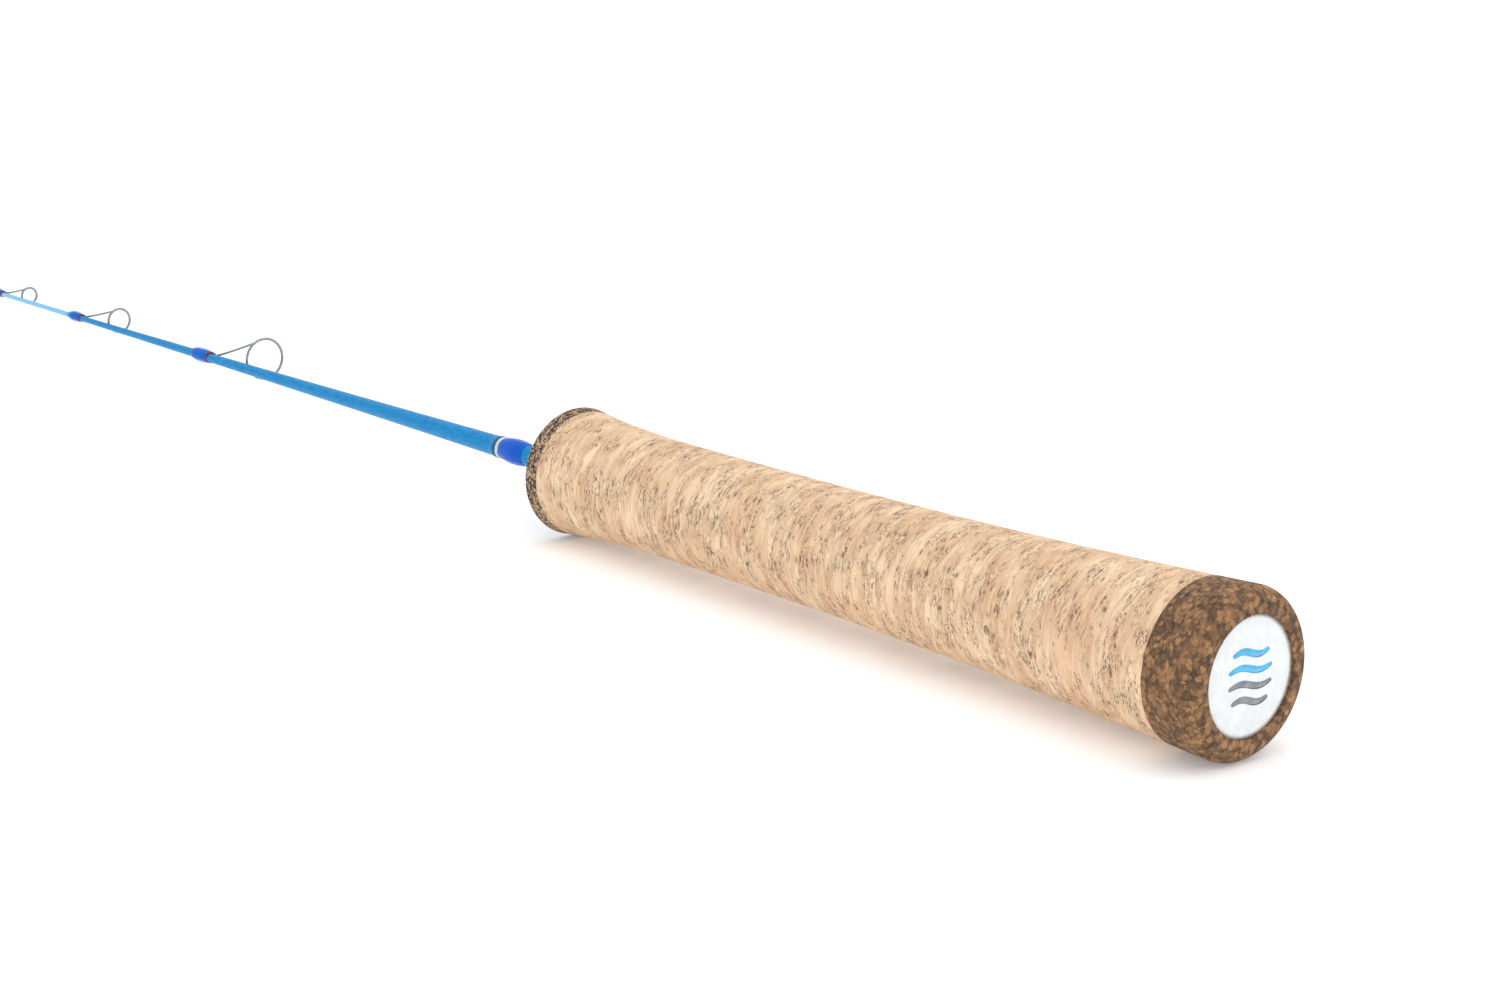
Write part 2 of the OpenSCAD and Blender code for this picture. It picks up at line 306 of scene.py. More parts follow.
@dataclass(frozen=True)
class Cork:
    """Light sanded cork, with streaks that run round the grip and small dark flecks."""

    light: Colour = srgb(230, 192, 154)
    pale: Colour = srgb(243, 214, 178)
    tan: Colour = srgb(184, 146, 114)
    rust: Colour = srgb(206, 148, 118)
    grey: Colour = srgb(120, 100, 84)
    dark: Colour = srgb(72, 54, 44)

    def material(self) -> bpy.types.Material:
        """Builds the material."""
        graph = Graph("cork")
        streak = graph.noise(graph.stretched(820, 150, 150), 4.0, 0.8)
        band = graph.noise(graph.stretched(1500, 300, 300), 3.0, 0.9)
        broad = graph.noise(graph.stretched(150, 90, 90), 3.0)
        blush = graph.noise(graph.stretched(420, 120, 120), 2.0)
        grain = graph.noise(graph.stretched(4200, 1700, 1700), 2.0)
        fleck = graph.noise(graph.stretched(2500, 700, 700), 3.0, 1.4)
        gate = graph.noise(graph.stretched(330, 170, 170), 3.0)
        pit = graph.field("ShaderNodeAttribute", {"attribute_name": "pit"}, {}, "Fac")
        line = 1 - (streak - 0.5).absolute().ramp(0.0, 0.028)
        hair = 1 - (band - 0.52).absolute().ramp(0.0, 0.035)
        speck = fleck.ramp(0.57, 0.645) * gate.ramp(0.43, 0.58)
        colour = graph.mix(broad.ramp(0.3, 0.7), self.light, self.pale)
        colour = graph.mix(blush.ramp(0.5, 0.75) * 0.4, colour, self.rust)
        colour = graph.mix(streak.ramp(0.48, 0.64) * 0.4, colour, self.tan)
        colour = graph.mix(line * gate.ramp(0.35, 0.6) * 0.6, colour, self.grey)
        colour = graph.mix(hair * gate.ramp(0.35, 0.55) * 0.5, colour, self.tan)
        colour = graph.mix(grain.ramp(0.55, 0.8) * 0.4, colour, self.tan)
        colour = graph.mix((speck * 0.72).larger(pit * 0.7), colour, self.dark)
        height = 1 - speck * 0.7 - line * 0.3 - streak.ramp(0.5, 0.75) * 0.25 - grain * 0.2
        return graph.surface({
            "Base Color": colour,
            "Roughness": 0.66 + streak * 0.2,
            "Normal": graph.bump(height, 0.0002),
        })


@dataclass(frozen=True)
class BurlCork:
    """Dark pressed cork of small granules."""

    name: str = "burl_cork"
    granule: float = 1150.0
    contrast: float = 0.42
    stops: tuple[tuple[float, Colour], ...] = (
        (0.0, srgb(50, 34, 20)),
        (0.36, srgb(98, 70, 44)),
        (0.62, srgb(148, 108, 72)),
        (1.0, srgb(202, 156, 108)),
    )

    def material(self) -> bpy.types.Material:
        """Builds the material."""
        graph = Graph(self.name)
        size = self.granule
        where = graph.warped(graph.stretched(size, size * 0.8, size * 0.8), 1.3)
        cells = graph.node("ShaderNodeTexVoronoi", {}, {"Vector": where, "Scale": 1.0})
        tone = graph.field("ShaderNodeSeparateColor", {}, {"Color": cells.outputs["Color"]})
        gap = Field(graph, cells.outputs["Distance"])
        cloud = graph.noise(graph.stretched(260, 220, 220), 3.0)
        dust = graph.noise(graph.stretched(3600, 3600, 3600), 2.0)
        value = tone * self.contrast + cloud * (0.92 - self.contrast) + dust * 0.25
        value = value - gap.ramp(0.5, 0.9) * 0.3 - 0.06
        ramp = graph.node("ShaderNodeValToRGB", {"stops": self.stops}, {"Fac": value})
        return graph.surface({
            "Base Color": ramp.outputs["Color"],
            "Roughness": 0.66 + tone * 0.2,
            "Normal": graph.bump(1 - gap.ramp(0.4, 0.9) - dust * 0.3, 0.00016),
        })


@dataclass(frozen=True)
class Lacquer:
    """Gloss blue lacquer over solid glass fibre, with a faint metallic shimmer."""

    deep: Colour = srgb(0, 114, 180)
    bright: Colour = srgb(0, 148, 206)
    tip: Colour = srgb(140, 202, 238)
    tip_start: float = 0.461
    tip_end: float = 0.464

    def material(self) -> bpy.types.Material:
        """Builds the material."""
        graph = Graph("blank_lacquer")
        shimmer = graph.noise(graph.stretched(380, 2600, 2600), 3.0)
        flake = graph.noise(graph.stretched(9000, 9000, 9000), 1.0)
        along = graph.field("ShaderNodeSeparateXYZ", {}, {"Vector": graph.place})
        colour = graph.mix(shimmer.ramp(0.3, 0.7) * 0.7 + flake * 0.2, self.deep, self.bright)
        colour = graph.mix(along.ramp(self.tip_start, self.tip_end) * 0.85, colour, self.tip)
        return graph.surface({
            "Base Color": colour,
            "Roughness": 0.34 + flake * 0.1,
            "Specular IOR Level": 0.08,
            "Coat Weight": 0.16,
            "Coat Roughness": 0.04,
            "Normal": graph.bump(shimmer, 0.00001),
        })


@dataclass(frozen=True)
class Thread:
    """Close-wound thread under epoxy."""

    name: str
    light: Colour
    deep: Colour
    metallic: float = 0.0

    def material(self) -> bpy.types.Material:
        """Builds the material."""
        graph = Graph(self.name)
        fibre = graph.noise(graph.stretched(14000, 900, 900), 2.0)
        tone = graph.noise(graph.stretched(420, 300, 300), 2.0)
        colour = graph.mix(fibre.ramp(0.3, 0.7) * 0.6 + tone * 0.3, self.deep, self.light)
        return graph.surface({
            "Base Color": colour,
            "Roughness": 0.3 + fibre * 0.2,
            "Metallic": self.metallic,
            "Specular IOR Level": 0.1,
            "Coat Weight": 0.15,
            "Coat Roughness": 0.05,
            "Normal": graph.bump(fibre, 0.00002),
        })


@dataclass(frozen=True)
class Epoxy:
    """Clear rod finish. Over thread it is filled by the thread's colour, as a lens would be.

    Attributes:
        name: The material's name.
        tint: Colour that shows through it.
        body: How solid it is, face on.
        rim: How much more solid it is at its edges.
    """

    name: str = "epoxy_clear"
    tint: Colour = srgb(120, 160, 190)
    body: float = 0.06
    rim: float = 0.35

    def material(self) -> bpy.types.Material:
        """Builds the material."""
        graph = Graph(self.name)
        facing = graph.field("ShaderNodeLayerWeight", {}, {"Blend": 0.35}, "Facing")
        ripple = graph.noise(graph.stretched(260, 160, 160), 2.0)
        paler = tuple(min(1.0, channel * 1.25 + 0.01) for channel in self.tint)
        return graph.surface({
            "Base Color": graph.mix(ripple, self.tint, paler),
            "Roughness": 0.04 + ripple * 0.03,
            "Alpha": self.body + facing ** 2 * self.rim,
            "Specular IOR Level": 0.1,
            "Coat Weight": 0.16,
            "Coat Roughness": 0.02,
            "Normal": graph.bump(ripple, 0.00004),
        })


@dataclass(frozen=True)
class GuideSteel:
    """Dark polished stainless wire with fine drawing marks."""

    light: Colour = srgb(168, 178, 180)
    dark: Colour = srgb(104, 116, 118)

    def material(self) -> bpy.types.Material:
        """Builds the material."""
        graph = Graph("guide_steel")
        marks = graph.noise(graph.stretched(1200, 5200, 5200), 3.0)
        cloud = graph.noise(graph.stretched(300, 300, 300), 2.0)
        return graph.surface({
            "Base Color": graph.mix(marks * 0.5 + cloud * 0.5, self.dark, self.light),
            "Metallic": 1.0,
            "Roughness": 0.16 + marks * 0.2,
            "Normal": graph.bump(marks, 0.00001),
        })


@dataclass(frozen=True)
class Print:
    """Gloss print or label stock, with a faint mottle."""

    name: str
    first: Colour
    second: Colour
    roughness: float = 0.22
    coat: float = 1.0
    scale: float = 420.0

    def material(self) -> bpy.types.Material:
        """Builds the material."""
        graph = Graph(self.name)
        mottle = graph.noise(graph.stretched(self.scale, self.scale, self.scale), 4.0)
        return graph.surface({
            "Base Color": graph.mix(mottle.ramp(0.3, 0.7), self.first, self.second),
            "Roughness": self.roughness + mottle * 0.1,
            "Coat Weight": self.coat,
            "Coat Roughness": 0.06,
            "Normal": graph.bump(mottle, 0.000015),
        })


@dataclass(frozen=True)
class Floor:
    """Plain pale floor, lit a little from within so that only deep shadow shows."""

    first: Colour = (0.95, 0.95, 0.955)
    second: Colour = (0.97, 0.97, 0.97)
    lift: float = 0.17

    def material(self) -> bpy.types.Material:
        """Builds the material."""
        graph = Graph("floor")
        soft = graph.noise(graph.stretched(8, 8, 8), 2.0)
        return graph.surface({
            "Base Color": graph.mix(soft, self.first, self.second),
            "Roughness": 0.9,
            "Emission Color": (1.0, 1.0, 1.0),
            "Emission Strength": self.lift,
        })


@dataclass
class Taper:
    """Radius of the blank along the rod."""

    length: float = 609.6
    butt_r: float = 2.65
    base_r: float = 2.55
    tip_r: float = 0.5
    power: float = 2.1
    base_x: float = field(default_factory=lambda: extent("butt_trim_teal")[1])

    def radius(self, x: float) -> float:
        """Radius at x, in millimetres."""
        if x < self.base_x:
            return self.butt_r + (self.base_r - self.butt_r) * x / self.base_x
        rest = (self.length - x) / (self.length - self.base_x)
        return self.tip_r + (self.base_r - self.tip_r) * rest ** self.power


def dress(piece: bpy.types.Object, material: bpy.types.Material,
          replaced: Sequence[str]) -> None:
    """Gives a piece its material and body, and hides the nodes it stands for.

    Args:
        piece: The object.
        material: Its material.
        replaced: CAD nodes that it stands for.
    """
    piece.data.materials.clear()
    piece.data.materials.append(material)
    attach(piece, BODY)
    if replaced:
        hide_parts(*replaced)
    LOG.info("%s: %d faces, stands for %s", piece.name, len(piece.data.polygons), list(replaced))


def mesh_piece(name: str, points: np.ndarray, faces: Sequence[Sequence[int]]) -> bpy.types.Object:
    """Makes a smooth-shaded mesh object.

    Args:
        name: The object's name.
        points: Corner places in millimetres, one row each.
        faces: Corner numbers of each face.

    Returns:
        The object, linked to the scene.
    """
    mesh = bpy.data.meshes.new(name)
    mesh.from_pydata((points * MM).tolist(), [], [list(f) for f in faces])
    mesh.validate()
    mesh.shade_smooth()
    mesh.update()
    piece = bpy.data.objects.new(name, mesh)
    bpy.context.scene.collection.objects.link(piece)
    return piece


def grid_faces(rows: int, columns: int) -> list[tuple[int, int, int, int]]:
    """Quads of a grid that closes on itself round each row.

    Args:
        rows: Number of rows of corners.
        columns: Corners in a row.

    Returns:
        The quads, with their faces outwards when x grows with the row.
    """
    faces = []
    for row in range(rows - 1):
        for column in range(columns):
            a = row * columns + column
            b = row * columns + (column + 1) % columns
            faces.append((a, b, b + columns, a + columns))
    return faces


@dataclass
class Lathe:
    """A shape turned about the rod's axis, or about a line beside it.

    Attributes:
        outline: Points (x, radius), in order along the surface, of a closed loop or of a
            line that starts and ends near the axis.
        segments: Corners round the axis.
        closed: True where the outline is a loop, as on a tube.
        shift: Distance of the turning axis from the rod's axis, towards the guides.
        pitch: How far one turn moves the outline along the rod, which makes a helix.
    """

    outline: Outline
    segments: int = 96
    closed: bool = False
    shift: float = 0.0
    pitch: float = 0.0

    def points(self) -> np.ndarray:
        """Corner places in millimetres, row by row."""
        angles = np.linspace(0, 2 * math.pi, self.segments, endpoint=False)
        outline = np.array(self.outline)
        x = outline[:, :1] + self.pitch * angles[None, :] / (2 * math.pi)
        y = outline[:, 1:] * np.cos(angles)[None, :] - self.shift * math.sin(GUIDE_ROLL)
        z = outline[:, 1:] * np.sin(angles)[None, :] + self.shift * math.cos(GUIDE_ROLL)
        return np.stack([x + 0 * y, y, z], axis=2).reshape(-1, 3)

    def build(self, name: str) -> bpy.types.Object:
        """Makes the mesh object."""
        rows = len(self.outline)
        points = self.points()
        faces = grid_faces(rows, self.segments)
        if self.closed:
            last = (rows - 1) * self.segments
            for column in range(self.segments):
                after = (column + 1) % self.segments
                faces.append((last + column, last + after, after, column))
        else:
            faces.append(tuple(reversed(range(self.segments))))
            faces.append(tuple(range((rows - 1) * self.segments, rows * self.segments)))
        return mesh_piece(name, points, faces)


def arc(centre: tuple[float, float], radius: float, start: float, end: float,
        steps: int) -> list[tuple[float, float]]:
    """Points of an arc in the outline plane.

    Args:
        centre: Centre (x, radius from the axis).
        radius: Radius of the arc.
        start: First angle in degrees, 0 along +x.
        end: Last angle.
        steps: Number of stretches.

    Returns:
        The points.
    """
    angles = [math.radians(start + (end - start) * i / steps) for i in range(steps + 1)]
    return [(centre[0] + radius * math.cos(a), centre[1] + radius * math.sin(a)) for a in angles]


def extent(node: str) -> tuple[float, float]:
    """Where a CAD node starts and ends along the rod, in millimetres."""
    low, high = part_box(node)
    return low.x / MM, high.x / MM


def breadth(node: str) -> float:
    """Largest radius of a CAD node that is centred on the rod, in millimetres."""
    low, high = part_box(node)
    return (high.y - low.y) / 2 / MM


@dataclass
class Grip:
    """The cork grip with its two dark ends and the badge."""

    waist_r: float = 12.95
    waist_x: float = 155.0
    butt_r: float = 16.7
    butt_flare: float = 2.4
    front_r: float = 14.95
    front_flare: float = 3.0
    cap_round: float = 3.5
    front_round: float = 0.6
    bore_r: float = 3.2
    rim_soft: float = 0.35
    cell: float = 0.42
    pit_depth: float = 0.24
    print_t: float = 0.15
    segments: int = 208
    taper: Taper = field(default_factory=Taper)

    def radius(self, x: float) -> float:
        """Radius of the cork at x."""
        length = extent("cork_front_ring")[1]
        if x < self.waist_x:
            part = 1 - x / self.waist_x
            return self.waist_r + (self.butt_r - self.waist_r) * part ** self.butt_flare
        part = (x - self.waist_x) / (length - self.waist_x)
        return self.waist_r + (self.front_r - self.waist_r) * part ** self.front_flare

    def cork(self) -> bpy.types.Object:
        """Light cork with real pits, pressed in by noise and kept as an attribute."""
        start, end = extent("cork_grip")
        rows = int((end - start) / self.cell)
        outline = [(start, self.bore_r)]
        stations = [start + (end - start) * i / rows for i in range(rows + 1)]
        outline += [(x, self.radius(x)) for x in stations]
        outline += [(end, self.bore_r)]
        piece = Lathe(outline, self.segments).build("cork_body")
        depth = self._pits(piece)
        attribute = piece.data.attributes.new("pit", "FLOAT", "POINT")
        attribute.data.foreach_set("value", depth)
        return piece

    def _pits(self, piece: bpy.types.Object) -> list[float]:
        """Presses pits into the cork and returns how deep each corner is, from 0 to 1."""
        depth = []
        for vertex in piece.data.vertices:
            place = vertex.co / MM
            radius = math.hypot(place.y, place.z)
            deep = 0.0
            if radius > self.bore_r + 1:
                value = noise.noise(Vector((place.x * 1.5, place.y * 0.6, place.z * 0.6)))
                gate = noise.noise(Vector((place.x * 0.16 + 9, place.y * 0.13, place.z * 0.13)))
                deep = min(1.0, max(0.0, (value - 0.44 - 0.3 * max(0.0, 0.1 - gate)) / 0.16))
                pull = 1 - self.pit_depth * deep / radius
                vertex.co.y *= pull
                vertex.co.z *= pull
            depth.append(deep)
        return depth

    def front(self) -> bpy.types.Object:
        """Thin dark ring with a softened edge round the blank."""
        start, end = extent("cork_front_ring")
        hole = self.taper.radius(end) + SKIN
        r = self.front_round
        outline = [(start, hole), (start, self.radius(start))]
        outline += [(x, self.radius(x)) for x in np.linspace(start + 0.4, end - r, 5)]
        outline += arc((end - r, self.front_r - r), r, 78, 0, 5)
        outline += [(end, self.front_r * 0.6), (end, hole + self.rim_soft)]
        outline += arc((end - self.rim_soft, hole + self.rim_soft), self.rim_soft, 0, -90, 4)
        return Lathe(outline, self.segments, closed=True).build("cork_front")

    def cap(self) -> bpy.types.Object:
        """Dark butt cap with a rounded rim and the badge's recess."""
        start, end = extent("cork_butt_cap")
        floor = extent("butt_badge")[1]
        well = breadth("butt_badge")
        r = self.cap_round
        soft = self.rim_soft
        outline = [(floor, CORE), (floor, well * 0.5), (floor, well), (start + soft, well)]
        outline += arc((start + soft, well + soft), soft, 180 + 75, 180, 4)
        outline += arc((start + r, self.radius(r) - r), r, 180, 90, 14)
        outline += [(x, self.radius(x)) for x in np.linspace(r + 0.6, end, 14)]
        outline += [(end, CORE)]
        return Lathe(outline, self.segments).build("cork_cap")

    def badge(self) -> bpy.types.Object:
        """Round badge, slightly crowned like a resin dome."""
        start, end = extent("butt_badge")
        radius = breadth("butt_badge")
        crown = end - start
        steps = 14
        outline = [(start + crown * 0.35 * (i / steps) ** 3, max(CORE, radius * i / steps))
                   for i in range(steps + 1)]
        outline += [(end, radius), (end, CORE)]
        return Lathe(outline, 128).build("badge_disc")

    def motif(self) -> list[bpy.types.Object]:
        """Generic print: two blue ripples over two grey ones."""
        level = extent("butt_badge")[0] - SKIN
        radius = breadth("butt_badge")
        return [self._ripple(k, level, radius) for k in range(4)]

    def _ripple(self, index: int, level: float, radius: float) -> bpy.types.Object:
        """One printed ripple across the badge.

        Args:
            index: 0 is the upper ripple.
            level: Its height on the badge, along the rod.
            radius: Radius of the badge.

        Returns:
            The print.
        """
        middle = radius * (0.39 - 0.26 * index)
        half = radius * (0.54 - 0.08 * abs(index - 1.5))
        thick = radius * 0.06
        wave = radius * 0.05
        back = level + self.print_t
        steps = 60
        points, faces = [], []
        for i in range(steps + 1):
            y = -half + 2 * half * i / steps
            turn = y / half * math.pi
            z = middle + wave * math.sin(turn)
            slope = wave * math.cos(turn) * math.pi / half
            width = thick * (0.35 + 0.65 * math.sin(math.pi * i / steps) ** 0.5)
            side_y, side_z = (part * width / math.hypot(1, slope) for part in (-slope, 1))
            points += [(level, y - side_y, z - side_z), (level, y + side_y, z + side_z),
                       (back, y + side_y, z + side_z), (back, y - side_y, z - side_z)]
        for i in range(steps):
            for k in range(4):
                a, b = i * 4 + k, i * 4 + (k + 1) % 4
                faces.append((a, b, b + 4, a + 4))
        faces += [(3, 2, 1, 0), tuple(steps * 4 + k for k in range(4))]
        return mesh_piece(f"badge_print_ripple_{index + 1}", np.array(points), faces)

    def build(self, finishes: "Finishes") -> None:
        """Builds and dresses every piece of the grip."""
        dress(self.cork(), finishes.cork, ["cork_grip"])
        dress(self.front(), finishes.burl_front, ["cork_front_ring"])
        dress(self.cap(), finishes.burl, ["cork_butt_cap"])
        dress(self.badge(), finishes.badge, ["butt_badge"])
        inks = [finishes.ink_blue, finishes.ink_blue, finishes.ink_grey, finishes.ink_grey]
        for piece, ink in zip(self.motif(), inks):
            dress(piece, ink, [])


@dataclass
class Blank:
    """The tapered blank as one smooth surface."""

    taper: Taper = field(default_factory=Taper)
    station: float = 4.0

    def build(self, finishes: "Finishes") -> None:
        """Builds and dresses the blank."""
        start, end = extent("blank")
        count = int((end - start) / self.station)
        stations = [start + (end - start) * i / count for i in range(count + 1)]
        outline = [(start, CORE)] + [(x, self.taper.radius(x)) for x in stations] + [(end, CORE)]
        dress(Lathe(outline, 64).build("rod_blank"), finishes.blank, ["blank"])


@dataclass
class Winding:
    """A band of close-wound thread on the blank.

    Attributes:
        node: The CAD node it stands for.
        thickness: Thickness of the thread.
        shift: Distance of the band's axis from the rod's axis, towards the guides.
        swell: Extra radius that lets the thread cover a guide foot.
    """

    node: str
    thickness: float = 0.18
    shift: float = 0.0
    swell: float = 0.0
    taper: Taper = field(default_factory=Taper)

    def build(self, material: bpy.types.Material, slot: Slot) -> None:
        """Builds the turns as a helical ridge and dresses them."""
        start, end = extent(self.node)
        turns = max(4, round((end - start - self.thickness) / self.thickness))
        pitch = (end - start) / (turns + 1)
        step = 6
        outline = []
        for i in range(turns * step + 1):
            x = start + pitch * i / step
            ridge = abs(math.sin(math.pi * i / step)) ** 0.7
            base = self.taper.radius(x) + self.swell
            outline.append((x, base + self.thickness * (0.62 + 0.38 * ridge)))
        inner = self.taper.radius(end) - 0.1
        outline += [(outline[-1][0], inner), (outline[0][0], inner)]
        lathe = Lathe(outline, 64, closed=True, shift=self.shift, pitch=pitch)
        dress(lathe.build(f"thread_{self.node}"), material, [self.node])


@dataclass
class EpoxyCoat:
    """Clear coat over a winding.

    Attributes:
        node: The CAD node it stands for.
        cover: Thickness over the blank where the coat is fullest.
        shift: Distance of its axis from the rod's axis, towards the guides.
        power: 1 swells like a football, less is flatter with steeper ends.
        start: Where it starts, if not where the CAD node does.
        end: Where it ends, if not where the CAD node does.
        label: What the piece is called.
    """

    node: str
    cover: float
    shift: float = 0.0
    power: float = 0.5
    start: Optional[float] = None
    end: Optional[float] = None
    label: str = "clear"
    taper: Taper = field(default_factory=Taper)

    def build(self, material: bpy.types.Material) -> None:
        """Builds the coat as a closed shell and dresses it."""
        first, last = extent(self.node)
        start = first if self.start is None else self.start
        end = last if self.end is None else self.end
        steps = 32
        outline = []
        for i in range(steps + 1):
            part = i / steps
            x = start + (end - start) * part
            swell = math.sin(math.pi * part) ** self.power if 0 < i < steps else 0.0
            low = self.taper.radius(x) + self.shift + SKIN
            outline.append((x, low + (self.cover - self.shift) * swell))
        inner = self.taper.radius(end) * 0.96
        outline += [(end, inner), (start, inner)]
        lathe = Lathe(outline, 72, closed=True, shift=self.shift)
        dress(lathe.build(f"{self.label}_{self.node}"), material, [self.node])


def swept(name: str, path: Sequence[Vector], sizes: Sequence[tuple[float, float]],
          sides: int = 16) -> bpy.types.Object:
    """Sweeps an oval section along a path.

    Args:
        name: The object's name.
        path: Points in millimetres, in guide space (+Z away from the blank).
        sizes: Half width and half height of the section at each point.
        sides: Corners of the section.

    Returns:
        The object, rolled to the guides' side.
    """
    roll = Matrix.Rotation(GUIDE_ROLL, 3, "X")
    points, faces = [], []
    for i, place in enumerate(path):
        ahead = path[min(i + 1, len(path) - 1)] - path[max(i - 1, 0)]
        ahead.normalize()
        across = Vector((0, 1, 0)) - ahead * ahead.y
        across.normalize()
        up = ahead.cross(across)
        for k in range(sides):
            angle = 2 * math.pi * k / sides
            spot = place + across * sizes[i][0] * math.cos(angle)
            spot += up * sizes[i][1] * math.sin(angle)
            points.append(tuple(roll @ spot))
    faces += grid_faces(len(path), sides)
    faces.append(tuple(reversed(range(sides))))
    faces.append(tuple(range((len(path) - 1) * sides, len(path) * sides)))
    return mesh_piece(name, np.array(points), faces)


def hoop(name: str, centre: Vector, outer: float, wire: float, lean: float = 0.0) -> bpy.types.Object:
    """A closed hoop of round wire, in guide space.

    Args:
        name: The object's name.
        centre: Centre in millimetres.
        outer: Outer diameter.
        wire: Diameter of the wire.
        lean: How far the hoop leans back, in radians.

    Returns:
        The object, rolled to the guides' side.
    """
    ring, section = 96, 20
    radius = (outer - wire) / 2
    roll = Matrix.Rotation(GUIDE_ROLL, 3, "X")
    tilt = Matrix.Rotation(-lean, 3, "Y")
    points, faces = [], []
    for i in range(ring):
        around = 2 * math.pi * i / ring
        for k in range(section):
            angle = 2 * math.pi * k / section
            reach = radius + wire / 2 * math.cos(angle)
            spot = Vector((wire / 2 * math.sin(angle), reach * math.sin(around),
                           reach * math.cos(around)))
            points.append(tuple(roll @ (tilt @ spot + centre)))
    for i in range(ring):
        for k in range(section):
            a = i * section + k
            b = i * section + (k + 1) % section
            c = (i + 1) % ring * section + (k + 1) % section
            d = (i + 1) % ring * section + k
            faces.append((a, d, c, b))
    return mesh_piece(name, np.array(points), faces)


def smooth_path(corners: Sequence[Vector], steps: int) -> list[Vector]:
    """A curve through control points.

    Args:
        corners: Four Bezier control points.
        steps: Number of stretches.

    Returns:
        Points along the curve.
    """
    a, b, c, d = corners
    path = []
    for i in range(steps + 1):
        t = i / steps
        s = 1 - t
        path.append(a * s ** 3 + b * 3 * s * s * t + c * 3 * s * t * t + d * t ** 3)
    return path


@dataclass
class Guide:
    """One single-foot wire guide with its thread and epoxy.

    Attributes:
        number: 1 is the guide nearest the grip.
        leg_angle: Angle from the ring's outermost point to where a leg meets it, in degrees.
        shift: Distance of the winding's axis from the rod's axis.
        foot_w: Width of the flattened foot.
        foot_t: Thickness of the foot.
        foot_lead: How far the foot starts ahead of the thread.
        foot_short: How far it ends short of the epoxy.
        swell: Extra radius that lets the thread cover the foot.
    """

    number: int
    leg_angle: float = 112.0
    shift: float = 0.28
    foot_w: float = 1.3
    foot_t: float = 0.4
    foot_lead: float = 0.6
    foot_short: float = 1.8
    swell: float = 0.14
    taper: Taper = field(default_factory=Taper)

    def name(self, piece: str) -> str:
        """CAD node name of one of this guide's pieces."""
        return f"guide_{self.number}_{piece}"

    def ring_size(self) -> tuple[float, float, float, float]:
        """Centre along the rod, wire diameter, outer diameter and height of the ring."""
        low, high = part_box(self.name("ring"))
        wire = (high.x - low.x) / MM
        outer = (high.z - low.z) / MM
        middle = (low + high) / 2 / MM
        return middle.x, wire, outer, math.hypot(middle.y, middle.z)

    def ring(self) -> bpy.types.Object:
        """The closed hoop."""
        x, wire, outer, height = self.ring_size()
        return hoop(f"hoop_{self.number}", Vector((x, 0, height)), outer, wire)

    def legs(self) -> list[bpy.types.Object]:
        """Two wire legs that part at the foot and end against the hoop's sides."""
        x, wire, outer, height = self.ring_size()
        radius = (outer - wire) / 2
        turn = math.radians(self.leg_angle)
        start = extent(self.name("trim"))[0]
        base = self.taper.radius(start)
        made = []
        for side, word in ((-1, "near"), (1, "far")):
            fork = Vector((start - 0.1, side * wire * 0.36, base + wire * 0.42))
            bend = fork + Vector((-1.6, side * 0.05, 0.1))
            joint = Vector((x + wire * 0.42, side * radius * math.sin(turn),
                            height + radius * math.cos(turn)))
            path = smooth_path([fork, bend, joint + (bend - joint) * 0.35, joint], 18)
            size = wire * 0.4
            made.append(swept(f"leg_{self.number}_{word}", path, [(size, size)] * len(path)))
        return made

    def foot(self) -> bpy.types.Object:
        """The flattened foot, ground to a thin end."""
        start = extent(self.name("trim"))[0] - self.foot_lead
        end = extent(self.name("coat"))[1] - self.foot_short
        width = min(self.foot_w, 1.4 * self.taper.radius(end)) / 2
        path, sizes = [], []
        steps = 12
        for i in range(steps + 1):
            part = i / steps
            x = start + (end - start) * part
            thick = self.foot_t * (1 - 0.7 * part) / 2
            path.append(Vector((x, 0, self.taper.radius(x) + thick)))
            bulge = 0.8 + 0.2 * math.sin(math.pi * min(1, part * 2)) - 0.2 * part
            sizes.append((width * bulge, thick))
        return swept(f"foot_{self.number}", path, sizes)

    def build(self, finishes: "Finishes") -> None:
        """Builds and dresses the guide."""
        dress(self.ring(), finishes.steel, [self.name("ring")])
        for piece in self.legs() + [self.foot()]:
            dress(piece, finishes.steel, [self.name("frame")])
        Winding(self.name("wrap"), shift=self.shift, swell=self.swell).build(
            finishes.thread_blue, Slot.THREAD_BLUE)
        Winding(self.name("trim"), shift=self.shift, swell=self.swell).build(
            finishes.thread_red, Slot.THREAD_RED)
        trim_end = extent(self.name("trim"))[1]
        EpoxyCoat(self.name("coat"), 0.76, self.shift, power=0.6,
                  start=trim_end - 0.1).build(finishes.epoxy_blue)
        EpoxyCoat(self.name("coat"), 0.7, self.shift, power=0.3, end=trim_end + 0.1,
                  label="trim_clear").build(finishes.epoxy)


